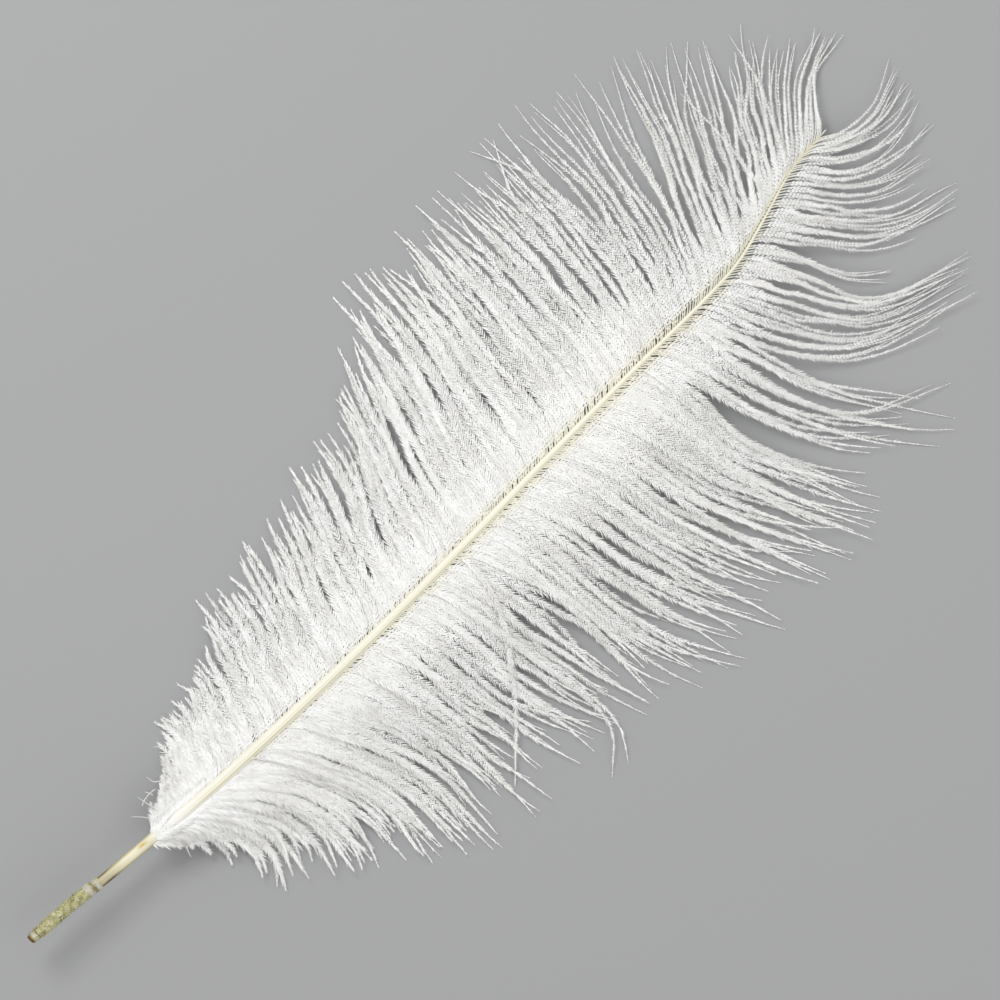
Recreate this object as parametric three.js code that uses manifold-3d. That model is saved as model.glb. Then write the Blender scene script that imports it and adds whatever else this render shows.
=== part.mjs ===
// A white ostrich plume lying on a table, grown as one piece: a horn shaft with a bare quill,
// and two loose vanes whose barbs cling together in drooping locks.
// Millimetres. X runs along the shaft from the quill to the tip, Z is up and z = 0 is the table.

import * as THREE from 'three';
import * as BufferGeometryUtils from 'three/addons/utils/BufferGeometryUtils.js';
import Module from 'manifold-3d';

const wasm = await Module();
wasm.setup();

// Driving dimensions. Points are seen from above, measured from the middle of the straight line
// between the quill's end and the tip of the shaft. The finished plume is moved so that its box
// is centred on X and Y.
const boxCentre = { x: 14.5, y: -11 };

// The shaft: place along it, place across, height of its middle, half its width, half its depth.
// The first 25 mm is thicker, with the dried skin of the growing feather still on it.
const shaftRoute = [
  { x: -163.7, y: -0.2, z: 12.2, halfWidth: 1.45, halfDepth: 1.45 },
  { x: -160.0, y: -0.5, z: 12.0, halfWidth: 1.75, halfDepth: 1.7 },
  { x: -151.0, y: -1.2, z: 11.6, halfWidth: 2.05, halfDepth: 1.95 },
  { x: -141.5, y: -2.3, z: 11.2, halfWidth: 1.95, halfDepth: 1.85 },
  { x: -138.5, y: -2.8, z: 11.0, halfWidth: 1.6, halfDepth: 1.55 },
  { x: -117.0, y: -4.9, z: 10.2, halfWidth: 1.6, halfDepth: 1.6 },
  { x: -80.0, y: -7.7, z: 9.3, halfWidth: 1.6, halfDepth: 1.7 },
  { x: -40.0, y: -9.0, z: 9.0, halfWidth: 1.5, halfDepth: 1.6 },
  { x: 0.0, y: -9.3, z: 9.2, halfWidth: 1.3, halfDepth: 1.4 },
  { x: 40.0, y: -8.9, z: 9.2, halfWidth: 1.05, halfDepth: 1.15 },
  { x: 80.0, y: -8.9, z: 8.4, halfWidth: 0.8, halfDepth: 0.9 },
  { x: 105.0, y: -9.2, z: 7.3, halfWidth: 0.65, halfDepth: 0.7 },
  { x: 120.0, y: -8.3, z: 6.4, halfWidth: 0.55, halfDepth: 0.55 },
  { x: 135.0, y: -4.6, z: 5.4, halfWidth: 0.45, halfDepth: 0.45 },
  { x: 150.0, y: -0.6, z: 4.4, halfWidth: 0.35, halfDepth: 0.35 },
  { x: 165.0, y: 0.5, z: 3.4, halfWidth: 0.25, halfDepth: 0.25 },
];
const shaftSteps = 32;
const shaftSides = 8;

// The locks of the left vane, seen with the quill towards you: where each leaves the shaft,
// two points that it passes and its tip.
const leftLocks = [
  [-109, [-106.5, 1], [-103.5, 5.5], [-100.5, 9.5]],
  [-97.5, [-94.5, 3], [-90.5, 11], [-88, 18.5]],
  [-87, [-84.5, 4.5], [-80.5, 14], [-78.5, 22]],
  [-76.5, [-73.5, 6], [-69.5, 18], [-67, 28.5]],
  [-68.5, [-65.5, 7], [-61, 21], [-58.5, 34.5]],
  [-60.5, [-57, 8], [-52, 22], [-49, 34.5]],
  [-52.5, [-48.5, 8], [-43, 23], [-40, 36.5]],
  [-44.5, [-40, 8.5], [-33.5, 25], [-30, 39]],
  [-36.5, [-31.5, 9], [-25, 26], [-21, 41]],
  [-28.5, [-22.5, 10], [-15, 28], [-10.5, 45]],
  [-20.5, [-14, 11], [-4.5, 31], [0.5, 50]],
  [-13, [-6, 12], [3, 31], [7.5, 45]],
  [-5, [2.5, 14], [10.5, 34], [15, 53.5]],
  [3, [10, 15], [18, 39], [24, 58.5]],
  [11, [17, 15], [24.5, 39], [30.5, 60]],
  [18.5, [23.5, 15], [31, 41], [34, 72.5]],
  [26, [31, 15], [37.5, 42], [39.5, 68.5]],
  [34, [38, 15], [43.5, 42], [45, 66]],
  [42, [45.5, 14], [50, 42], [52, 70.5]],
  [49.5, [53.5, 14], [57, 42], [57.5, 72]],
  [57, [60.5, 14], [63, 41], [62.5, 71.5]],
  [64.5, [68, 14], [70.5, 40], [69.5, 70.5]],
  [72, [75.5, 14], [79.5, 40], [79.5, 71]],
  [79.5, [84, 14], [87, 40], [87, 71]],
  [86, [91, 14], [95, 38], [95, 69.5]],
  [92, [98, 14], [103.5, 37], [103.5, 70.5]],
  [97.5, [104.5, 14], [110.5, 38], [113.5, 69]],
  [102.5, [112, 14], [118, 38], [127.5, 64.5]],
  [108, [118.5, 13], [128, 34], [134, 61]],
  [114, [123.5, 12], [133, 32], [146, 55]],
  [120.5, [129.5, 11], [139, 30], [154.5, 48.5]],
  [127.5, [137.5, 10], [147, 26], [156, 45.5]],
  [135, [144.5, 10], [153.5, 25], [165.5, 42]],
  [142, [151.5, 11], [160.5, 24], [174, 37]],
  [149, [157, 9], [166, 19], [180, 29]],
  [157, [163, 7], [172, 14.5], [188, 19.5]],
];

// The locks of the right vane, in the same way.
const rightLocks = [
  [-115, [-112.5, -11], [-111.5, -18], [-111.5, -26]],
  [-108.5, [-102.5, -14], [-98, -27], [-101.5, -42]],
  [-103, [-94.5, -16.5], [-88, -30], [-88.5, -49]],
  [-97, [-86, -20], [-78.5, -36], [-77.5, -59.5]],
  [-90, [-78.5, -21.5], [-70, -40], [-69, -64]],
  [-82, [-71, -23], [-62.5, -43], [-62, -67]],
  [-73.5, [-64.5, -24], [-56.5, -45], [-54, -74]],
  [-65, [-57.5, -24], [-50, -46], [-49.5, -80]],
  [-57, [-51, -24], [-44.5, -46], [-45, -69]],
  [-49, [-44, -24], [-39, -47], [-40, -80.5]],
  [-41, [-37.5, -24], [-34, -46], [-34, -81]],
  [-33, [-30, -24], [-27, -46], [-27, -70.5]],
  [-25.5, [-22.5, -24], [-21, -48], [-15, -82]],
  [-18, [-14.5, -24], [-12, -48], [-6, -83]],
  [-10.5, [-6.5, -24], [-3.5, -48], [1, -86]],
  [-3, [1, -24], [4, -48], [7, -82]],
  [4, [9.5, -25], [14.5, -46], [10, -80]],
  [11, [15, -24], [17, -50], [26.5, -92]],
  [17.5, [21.5, -24], [23, -50], [30, -91]],
  [24, [28, -24], [32, -50], [43.5, -94]],
  [30.5, [35, -24], [40, -50], [50.5, -92]],
  [37, [42, -24], [46.5, -48], [56, -90]],
  [43.5, [49, -24], [53, -48], [67, -92]],
  [50, [55, -24], [60, -48], [75.5, -94.5]],
  [57, [62, -24], [67, -48], [83, -90]],
  [64, [69, -24], [73, -48], [89, -94]],
  [70.5, [75, -24], [79, -48], [93, -89.5]],
  [77, [81, -25], [85, -50], [100.5, -92]],
  [83.5, [88.5, -26], [95, -52], [117, -90]],
  [90, [96, -26], [103, -50], [124, -89]],
  [96, [103, -26], [111, -50], [129, -88]],
  [100.5, [105.5, -27], [122, -50], [157, -64]],
  [106, [112.5, -26], [128.5, -49], [160.5, -62]],
  [112, [120, -25], [133, -46], [162, -60.5]],
  [119, [129, -25], [138.5, -43], [168.5, -58]],
  [125.5, [133.5, -22], [139, -34], [151, -44]],
  [130, [139, -20], [151, -34], [169, -42.5]],
  [135, [146, -20], [159, -34], [180, -40.5]],
  [141, [153.5, -21], [164, -29.5], [179, -34.5]],
  [147, [158, -17], [168.5, -22.5], [183.5, -25]],
  [153, [162.5, -11.5], [174, -16], [189.5, -16]],
  [159.5, [165.5, -5], [176, -6.5], [192.5, -2]],
];
const lockSteps = 6;
const lockSides = 4;

// A lock is as wide at the shaft as the stretch that it grows from, so that neighbours meet, and
// it narrows to its tip. It starts inside the shaft and comes down to the table before its end.
// Its height is that of its middle, which ends just above the table.
const widthOfSpacing = 0.58;
const widestTipSpacing = 10;
const pointedness = 3;
const tipHalfWidth = 0.4;
const rootHalfDepth = 1.1;
const tipHalfDepth = 0.35;
const touchdown = 0.82;
const tableClearance = 0.1;
const layerStep = 0.5;

// The table that the lowest locks are pressed flat against
const tableSize = { x: 500, y: 300, z: 20 };

const up = new THREE.Vector3(0, 0, 1);
const mix = THREE.MathUtils.lerp;

// Only the places of the corners are kept, and corners at the same place become one
function solidFrom(geometry) {
  geometry.deleteAttribute('normal');
  geometry.deleteAttribute('uv');
  const merged = BufferGeometryUtils.mergeVertices(geometry);
  return new wasm.Manifold(new wasm.Mesh({
    numProp: 3,
    vertProperties: new Float32Array(merged.getAttribute('position').array),
    triVerts: new Uint32Array(merged.getIndex().array),
  }));
}

// A cone whose rings are carried along a route. section(t) gives the middle of the ring, half its
// width and half its depth, for t from 0 at the cone's foot to 1 at its point. The rings stand
// square to the route, with their width level.
function carriedCone(section, steps, sides) {
  const cone = new THREE.ConeGeometry(1, 1, sides, steps);
  const corners = cone.getAttribute('position');
  const nudge = 0.5 / steps;
  for (let i = 0; i < corners.count; i += 1) {
    const t = corners.getY(i) + 0.5;
    const ringRadius = Math.max(1 - t, 1e-9);
    const { middle, halfWidth, halfDepth } = section(t);
    const before = section(Math.max(t - nudge, 0)).middle;
    const along = section(Math.min(t + nudge, 1)).middle.clone().sub(before).normalize();
    const side = along.clone().cross(up).normalize();
    const crown = side.clone().cross(along);
    const place = middle.clone();
    place.addScaledVector(side, (halfWidth * corners.getX(i)) / ringRadius);
    place.addScaledVector(crown, (halfDepth * corners.getZ(i)) / ringRadius);
    corners.setXYZ(i, place.x, place.y, place.z);
  }
  return cone;
}

// The shaft at a place along it: smooth between the points of its route
const shaftCurve = new THREE.CatmullRomCurve3(
  shaftRoute.map((stop) => new THREE.Vector3(stop.x, stop.y, stop.z)),
);
const girthCurve = new THREE.CatmullRomCurve3(
  shaftRoute.map((stop) => new THREE.Vector3(stop.x, stop.halfWidth, stop.halfDepth)),
);
const shaftLine = shaftCurve.getPoints(600);
const girthLine = girthCurve.getPoints(600);

function atPlace(line, x) {
  const next = Math.max(line.findIndex((point) => point.x >= x), 1);
  const before = line[next - 1];
  return before.clone().lerp(line[next], (x - before.x) / (line[next].x - before.x));
}

function shaftSolid() {
  const first = shaftRoute[0].x;
  const last = shaftRoute[shaftRoute.length - 1].x;
  const section = (t) => {
    const x = mix(first, last, t);
    const girth = atPlace(girthLine, x);
    return { middle: atPlace(shaftLine, x), halfWidth: girth.y, halfDepth: girth.z };
  };
  return solidFrom(carriedCone(section, shaftSteps, shaftSides));
}

// A lock's height falls from the shaft to the table along a smooth slope. Neighbours lie in two
// layers, one a little lower than the other.
function lockSolid(lock, rootSpacing, tipSpacing, layer) {
  const [rootX, near, far, tip] = lock;
  const root = atPlace(shaftLine, rootX);
  const route = new THREE.CatmullRomCurve3([
    root,
    new THREE.Vector3(near[0], near[1], 0),
    new THREE.Vector3(far[0], far[1], 0),
    new THREE.Vector3(tip[0], tip[1], 0),
  ]);
  const rootHeight = root.z - layer * layerStep;
  const section = (t) => {
    const middle = route.getPointAt(t);
    middle.z = rootHeight * (1 - THREE.MathUtils.smoothstep(t, 0, touchdown)) + tableClearance;
    const spacing = mix(rootSpacing, tipSpacing, t);
    return {
      middle,
      halfWidth: mix(tipHalfWidth, spacing * widthOfSpacing, 1 - t ** pointedness),
      halfDepth: mix(tipHalfDepth, rootHalfDepth, 1 - t),
    };
  };
  return solidFrom(carriedCone(section, lockSteps, lockSides));
}

// Half the distance from the lock before to the lock after
function spacingAt(locks, i, placeOf) {
  const before = Math.max(i - 1, 0);
  const after = Math.min(i + 1, locks.length - 1);
  return placeOf(locks[after]).distanceTo(placeOf(locks[before])) / (after - before);
}

function vaneSolids(locks) {
  const rootOf = (lock) => atPlace(shaftLine, lock[0]);
  const tipOf = (lock) => new THREE.Vector3(lock[3][0], lock[3][1], 0);
  return locks.map((lock, i) => {
    const tipSpacing = Math.min(spacingAt(locks, i, tipOf), widestTipSpacing);
    return lockSolid(lock, spacingAt(locks, i, rootOf), tipSpacing, i % 2);
  });
}

function tableSolid() {
  const table = new THREE.BoxGeometry(tableSize.x, tableSize.y, tableSize.z);
  table.translate(0, 0, -tableSize.z / 2);
  return solidFrom(table);
}

// Everything is joined, pressed flat on the table and filled, so that one skin is left
function plumeGeometry() {
  let plume = shaftSolid();
  for (const lock of [...vaneSolids(leftLocks), ...vaneSolids(rightLocks)]) {
    plume = plume.add(lock);
  }
  plume = plume.subtract(tableSolid());
  const skins = plume.decompose().sort((a, b) => b.volume() - a.volume());
  const { vertProperties, triVerts } = skins[0].getMesh();
  const geometry = new THREE.BufferGeometry();
  geometry.setAttribute('position', new THREE.BufferAttribute(vertProperties, 3));
  geometry.setIndex(new THREE.BufferAttribute(triVerts, 1));
  geometry.translate(-boxCentre.x, -boxCentre.y, 0);
  geometry.computeVertexNormals();
  return geometry;
}

const featherWhite = new THREE.MeshStandardMaterial({
  color: 0xf4f2ec,
  roughness: 0.75,
  metalness: 0,
});

const feather = new THREE.Mesh(plumeGeometry(), featherWhite);
feather.name = 'feather';

const model = new THREE.Group();
model.add(feather);

export default model;
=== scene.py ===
# A white ostrich plume lying on a pale table, seen from straight above.
import bpy
import numpy as np
from mathutils import Matrix, Vector


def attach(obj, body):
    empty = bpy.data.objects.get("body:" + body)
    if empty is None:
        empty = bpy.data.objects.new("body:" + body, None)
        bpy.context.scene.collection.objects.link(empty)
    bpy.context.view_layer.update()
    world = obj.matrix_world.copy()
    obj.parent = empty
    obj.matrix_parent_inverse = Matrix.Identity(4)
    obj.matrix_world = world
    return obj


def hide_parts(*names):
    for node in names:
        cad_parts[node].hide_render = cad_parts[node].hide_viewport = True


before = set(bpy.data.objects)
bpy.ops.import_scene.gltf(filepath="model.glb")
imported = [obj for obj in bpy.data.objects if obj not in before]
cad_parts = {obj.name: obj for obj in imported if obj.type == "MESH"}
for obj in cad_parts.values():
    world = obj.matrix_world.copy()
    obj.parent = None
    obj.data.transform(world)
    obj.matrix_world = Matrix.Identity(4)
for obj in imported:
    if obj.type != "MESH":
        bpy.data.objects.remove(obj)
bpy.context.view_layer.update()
chance = np.random.default_rng(11)

# The shaft
# One hollow horn rod: a round bare quill, then the ivory shaft that carries the vanes and thins to
# a thread. It grew with the rest of the feather, so it leaves the quill's end without a joint.
MM = 0.001
BOX_CENTRE = np.array([14.5, -11.0, 0.0])  # of the feather, in the measures below
SHAFT = np.array([  # along, across, height of the middle, half width, half depth, in millimetres
    [-163.7, -0.2, 12.2, 1.2, 1.2],
    [-160.0, -0.5, 12.0, 1.45, 1.4],
    [-151.0, -1.2, 11.6, 1.55, 1.5],
    [-141.5, -2.3, 11.2, 1.6, 1.55],
    [-138.5, -2.8, 11.0, 1.6, 1.55],
    [-117.0, -4.9, 10.2, 1.7, 1.6],
    [-100.0, -6.5, 9.7, 1.8, 1.7],
    [-80.0, -7.7, 9.3, 1.7, 1.7],
    [-40.0, -9.0, 9.0, 1.5, 1.6],
    [0.0, -9.3, 9.2, 1.3, 1.4],
    [40.0, -8.9, 9.2, 1.05, 1.15],
    [80.0, -8.8, 8.4, 0.75, 0.85],
    [105.0, -9.1, 7.3, 0.55, 0.65],
    [120.0, -8.3, 6.4, 0.45, 0.5],
    [135.0, -4.6, 5.4, 0.38, 0.4],
    [150.0, -0.6, 4.4, 0.3, 0.32],
    [165.0, 0.5, 3.4, 0.2, 0.2],
])
SHAFT_START, VANE_START = -162.6, -117.0
SHAFT_STEPS, SHAFT_CORNERS = 500, 40
CROWN_GROOVE, BELLY_GROOVE = 0.06, 0.3


def smooth_route(stops, per_gap):
    """Rows of points on a smooth curve through each row of stops. Between two stops it is a cubic
    whose slopes weigh the neighbouring gaps by the square root of their lengths."""
    first = 2 * stops[:, :1] - stops[:, 1:2]
    last = 2 * stops[:, -1:] - stops[:, -2:-1]
    p = np.concatenate([first, stops, last], axis=1)
    gap = np.linalg.norm(np.diff(p, axis=1), axis=2, keepdims=True) ** 0.5
    before, here, after = gap[:, :-2], gap[:, 1:-1], gap[:, 2:]
    a, b, c, d = p[:, :-3], p[:, 1:-2], p[:, 2:-1], p[:, 3:]
    leave = ((b - a) / before - (c - a) / (before + here) + (c - b) / here) * here
    arrive = ((c - b) / here - (d - b) / (here + after) + (d - c) / after) * here
    t = np.linspace(0, 1, per_gap, endpoint=False)[None, None, :, None]
    b, c, leave, arrive = (v[:, :, None] for v in (b, c, leave, arrive))
    curve = (b * (2 * t**3 - 3 * t**2 + 1) + leave * (t**3 - 2 * t**2 + t)
             + c * (3 * t**2 - 2 * t**3) + arrive * (t**3 - t**2))
    curve = curve.reshape(len(stops), -1, stops.shape[2])
    return np.concatenate([curve, stops[:, -1:]], axis=1)


SHAFT_LINE = smooth_route(SHAFT[None, :, :3], 40)[0]
SHAFT_GIRTH = smooth_route(SHAFT[None, :, [0, 3, 4]], 40)[0]


def shaft_at(x):
    """The shaft's middle at places x, and its half width and half depth there."""
    middle = np.stack([x] + [np.interp(x, SHAFT_LINE[:, 0], SHAFT_LINE[:, k]) for k in (1, 2)], -1)
    wide, deep = (np.interp(x, SHAFT_GIRTH[:, 0], SHAFT_GIRTH[:, k]) for k in (1, 2))
    return middle, wide, deep


def smoothstep(low, high, x):
    """0 below low, 1 above high, and a smooth slope between."""
    t = np.clip((x - low) / (high - low), 0, 1)
    return t * t * (3 - 2 * t)


def unit(v):
    """Vectors of length 1 in the same directions."""
    return v / np.maximum(np.linalg.norm(v, axis=-1, keepdims=True), 1e-12)


def cross_frame(along):
    """For directions along, the level direction to their right and the crown direction above."""
    side = unit(np.cross(along, [0.0, 0.0, 1.0]))
    return side, np.cross(side, along)


def tube_faces(count, steps, corners):
    """Triangles of tubes: rings of corners joined along steps, with a fan over each end. With them
    comes each triangle corner's place on the unrolled tube, from 0 to 1 along and around."""
    i, j = (v.ravel() for v in np.meshgrid(np.arange(steps - 1), np.arange(corners), indexing="ij"))
    k = np.arange(1, corners - 1)
    foot, head = 0 * k, 0 * k + steps - 1
    step = np.concatenate([np.stack(s, -1) for s in
                           [(i, i + 1, i + 1), (i, i + 1, i), (foot,) * 3, (head,) * 3]])
    turn = np.concatenate([np.stack(s, -1) for s in
                           [(j, j, j + 1), (j, j + 1, j + 1), (0 * k, k, k + 1), (0 * k, k + 1, k)]])
    one = step * corners + turn % corners
    faces = (one[None] + (np.arange(count) * steps * corners)[:, None, None]).reshape(-1, 3)
    strip = np.stack([step / (steps - 1), turn / corners], -1)
    return faces, np.tile(strip, (count, 1, 1))


def new_piece(name, points, faces, strip, finish, slot, rounded=True):
    """A piece from points in millimetres and triangles, with its finish. strip is each triangle
    corner's place on the piece's unrolled surface, and rounded says which triangles look smooth."""
    mesh = bpy.data.meshes.new(name)
    mesh.vertices.add(len(points))
    mesh.vertices.foreach_set("co", ((points - BOX_CENTRE) * MM).astype(np.float32).ravel())
    mesh.loops.add(faces.size)
    mesh.loops.foreach_set("vertex_index", faces.astype(np.int32).ravel())
    mesh.polygons.add(len(faces))
    mesh.polygons.foreach_set("loop_start", np.arange(0, faces.size, 3, dtype=np.int32))
    mesh.polygons.foreach_set("use_smooth", np.ones(len(faces), bool) & rounded)
    layer = mesh.uv_layers.new(name="OFBake")
    layer.uv.foreach_set("vector", strip.astype(np.float32).ravel())
    mesh.update(calc_edges=True)
    mesh.materials.append(finish)
    piece = bpy.data.objects.new(name, mesh)
    bpy.context.scene.collection.objects.link(piece)
    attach(piece, "root")
    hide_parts("feather")


class Wire:
    """A shader socket with arithmetic: an expression on sockets adds its Math nodes."""

    def __init__(self, nodes, socket):
        self.nodes, self.socket = nodes, socket

    def math(self, operation, *others, swap=False):
        """The result of a Math node on this wire and the others, the other way round with swap."""
        node = self.nodes.new("ShaderNodeMath")
        node.operation = operation
        given = [self, *others]
        if swap:
            given.reverse()
        for into, value in zip(node.inputs, given):
            plug(into, value)
        return Wire(self.nodes, node.outputs[0])

    def __add__(self, other):
        return self.math("ADD", other)

    def __radd__(self, other):
        return self.math("ADD", other)

    def __sub__(self, other):
        return self.math("SUBTRACT", other)

    def __rsub__(self, other):
        return self.math("SUBTRACT", other, swap=True)

    def __mul__(self, other):
        return self.math("MULTIPLY", other)

    def __rmul__(self, other):
        return self.math("MULTIPLY", other)

    def clamp(self):
        """0 below 0 and 1 above 1."""
        return self.math("MINIMUM", 1.0).math("MAXIMUM", 0.0)

    def ramp(self, low, high):
        """0 at low, 1 at high, smooth between; low may be the larger."""
        t = ((self - low) * (1 / (high - low))).clamp()
        return t * t * (3.0 - 2.0 * t)

    def bell(self, middle, width):
        """1 at the middle, falling to 0 at width on either side."""
        return 1.0 - (self - middle).math("ABSOLUTE").ramp(0.0, width)


def plug(into, value):
    """Links a wire to a socket, or sets the socket's own value."""
    if isinstance(value, Wire):
        into.id_data.links.new(value.socket, into)
    else:
        into.default_value = value


class Paint:
    """A material whose nodes are made one by one."""

    def __init__(self, name, **constants):
        self.material = bpy.data.materials.new(name)
        self.material.use_nodes = True
        self.tree = self.material.node_tree
        self.shader = self.tree.nodes["Principled BSDF"]
        self.feed(**constants)

    def node(self, kind, settings=None, out=0, **values):
        """One node: its settings first, then its sockets by name, with _ for a space, or as in_0."""
        made = self.tree.nodes.new(kind)
        for key, value in (settings or {}).items():
            setattr(made, key, value)
        for key, value in values.items():
            plug(made.inputs[int(key[3:]) if key.startswith("in_") else key.replace("_", " ")], value)
        return Wire(self.tree.nodes, made.outputs[out])

    def place(self):
        """The place in the piece's own space, in metres."""
        return self.node("ShaderNodeTexCoord", out="Object")

    def unrolled(self):
        """The place on the piece's unrolled surface, from 0 to 1 along and around."""
        return self.node("ShaderNodeTexCoord", out="UV")

    def axis(self, where, number):
        """One of a place's three numbers."""
        return self.node("ShaderNodeSeparateXYZ", out=number, in_0=where)

    def stretched(self, where, *scale):
        """A place with each of its numbers multiplied by its own scale."""
        return self.node("ShaderNodeMapping", in_0=where, Scale=scale)

    def noise(self, where, scale, detail=3.0):
        """Cloudy random numbers from 0 to 1, with scale of their lumps in a unit of length."""
        return self.node("ShaderNodeTexNoise", Vector=where, Scale=scale, Detail=detail)

    def blend(self, share, low, high):
        """The colour low where share is 0 and high where it is 1."""
        mix = self.node("ShaderNodeMix", {"data_type": "RGBA"}, out=2, in_0=share)
        for socket, colour in zip(mix.socket.node.inputs[6:8], (low, high)):
            plug(socket, colour if isinstance(colour, Wire) else (*colour, 1.0))
        return mix

    def raised(self, height, distance):
        """The surface direction over bumps of that height, distance metres deep where it is 1."""
        return self.node("ShaderNodeBump", Height=height, Distance=distance)

    def feed(self, **wires):
        """Sets or links the shader's own sockets by name, with _ for a space."""
        for socket, wire in wires.items():
            plug(self.shader.inputs[socket.replace("_", " ")], wire)
        return self.material


def shaft_rings(x, corners):
    """Rings round the shaft from its belly over its crown. Each is an oval with a fine groove on
    the crown and a broad one in the belly: two bell curves taken off its height."""
    middle, wide, deep = shaft_at(x)
    side, crown = cross_frame(unit(np.gradient(middle, axis=0)))
    turn = 2 * np.pi * np.arange(corners)[None, :] / corners - np.pi / 2
    across, height = np.cos(turn), np.sin(turn)
    vane = smoothstep(VANE_START - 4, VANE_START + 25, x)[:, None]
    fine = CROWN_GROOVE * np.exp(-((across - 0.05) / 0.13) ** 2) * (height > 0)
    broad = BELLY_GROOVE * np.exp(-(across / 0.35) ** 2) * (height < 0)
    swell = 1 + 0.012 * np.sin(x / 3.1 + 2 * np.sin(x / 11))[:, None]
    across = across * swell * wide[:, None]
    height = height * swell * (1 - vane * (fine + broad)) * deep[:, None]
    return middle[:, None] + across[..., None] * side[:, None] + height[..., None] * crown[:, None]


# Along the shaft, in millimetres, from where to where each change of its colour runs.
VANE_LINES = -112, -96
WHITE_IN_MUFF = -98, -112
BARE_QUILL = -114, -120
TAN_AT_SHEATH = -127, -137
horn = Paint("ivory_horn", Roughness=0.4, Specular_IOR_Level=0.4)
where = horn.place()
along = horn.axis(where, 0) * (1 / MM) + BOX_CENTRE[0]
across = (horn.axis(horn.unrolled(), 1) * (2 * np.pi)).math("SINE")
grain = horn.noise(horn.stretched(where, 90, 1500, 1500), 1.0, 4.0)
cloud = horn.noise(where, 160.0, 3.0)
ivory = horn.blend(grain, (0.85, 0.82, 0.67), (0.94, 0.925, 0.81))
yellow_line = across.bell(0.5, 0.2) * along.ramp(*VANE_LINES) * (0.5 + 0.6 * grain)
ivory = horn.blend(yellow_line.clamp(), ivory, (0.66, 0.60, 0.33))
mid_line = across.bell(0.05, 0.12) * along.ramp(*VANE_LINES) * 0.35
ivory = horn.blend(mid_line, ivory, (0.70, 0.67, 0.50))
ivory = horn.blend(along.ramp(*WHITE_IN_MUFF) * 0.75, ivory, (0.94, 0.935, 0.9))
bare = along.ramp(*BARE_QUILL)
honey = horn.blend(cloud, (0.72, 0.67, 0.46), (0.88, 0.85, 0.68))
# The bare quill is darker and yellower towards its sides: partly the horn's own yellow tone, partly
# painted shade of the round quill's sides.
edge = across.math("ABSOLUTE").ramp(0.55, 0.95)
honey = horn.blend(edge * 0.75, honey, (0.46, 0.40, 0.15))
ivory = horn.blend(bare, ivory, honey)
tan = along.ramp(*TAN_AT_SHEATH) * (0.5 + 0.9 * cloud) * (0.6 + 0.4 * edge)
ivory = horn.blend(tan.clamp(), ivory, (0.27, 0.22, 0.09))
umber = along.bell(-136.0, 4.5) * edge + along.bell(-134.0, 4.0) * across.ramp(0.3, 0.8) * 0.6
ivory = horn.blend((umber * 0.8).clamp(), ivory, (0.14, 0.085, 0.03))
stain = along.bell(-121.6, 2.6) * across.bell(-0.28, 0.42) * (0.5 + 0.9 * cloud)
ivory = horn.blend(stain.clamp(), ivory, (0.56, 0.40, 0.02))
horn.feed(Base_Color=ivory, Normal=horn.raised(grain, 0.00004))

shaft_x = np.linspace(SHAFT_START, SHAFT[-1, 0], SHAFT_STEPS)
rings = shaft_rings(shaft_x, SHAFT_CORNERS)
new_piece("shaft", rings.reshape(-1, 3), *tube_faces(1, SHAFT_STEPS, SHAFT_CORNERS),
          horn.material, "shaft")

# The sheath
# The papery skin that the feather grew in has dried on the lower quill: a flaking yellow-green
# crust that ends at a broken rim below, and in two thick white rings above.
SHEATH_STEPS, SHEATH_CORNERS = 420, 72
SHEATH_PROFILE = np.array([  # along, thickness over the quill
    [-163.9, 0.0],
    [-163.5, 0.14],
    [-162.0, 0.2],
    [-161.3, 0.2],
    [-161.0, 0.1],
    [-160.7, 0.2],
    [-157.0, 0.28],
    [-152.0, 0.26],
    [-146.0, 0.2],
    [-143.2, 0.2],
    [-141.9, 0.32],
    [-141.3, 0.26],
    [-140.8, 0.07],
    [-139.7, 0.07],
    [-139.3, 0.26],
    [-138.6, 0.3],
    [-138.1, 0.12],
    [-137.6, -0.2],
])


def lumps(steps, corners, cells_along, cells_around):
    """Smooth random heights from 0 to 1 on a tube: a coarse net of random numbers that closes on
    itself around, blended between its knots with slopes that start and end level."""
    net = chance.random((cells_along + 2, cells_around))
    u = np.linspace(0, cells_along, steps)[:, None]
    v = (np.arange(corners) / corners * cells_around)[None, :]
    i, j = u.astype(int), v.astype(int)
    a, b = smoothstep(0, 1, u - i), smoothstep(0, 1, v - j)
    right = (j + 1) % cells_around
    return ((net[i, j] * (1 - a) + net[i + 1, j] * a) * (1 - b)
            + (net[i, right] * (1 - a) + net[i + 1, right] * a) * b)


def blades(foot, first, second, length, width):
    """Slender closed blades of four triangles: a point at the foot, two at the knee, where the blade
    turns from its first direction to its second, and one at the tip. The knee is arched above the
    line from foot to tip, and where it lies below that line the triangles are turned round."""
    side, crown = cross_frame(first)
    knee = foot + first * length * 0.4 + crown * (0.15 * width + 0.02 * length)
    tip = foot + first * length * 0.4 + second * length * 0.6
    points = np.stack([foot, knee + side * width / 2, knee - side * width / 2, tip], axis=1)
    a, b, c = (points[:, k] - foot for k in (1, 2, 3))
    turned = (np.cross(a, b) * c).sum(axis=1) > 0
    one = np.array([[0, 1, 2], [1, 3, 2], [0, 2, 3], [0, 3, 1]])
    faces = np.where(turned[:, None, None], one[:, ::-1], one) + 4 * np.arange(len(foot))[:, None, None]
    return points, faces


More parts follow.
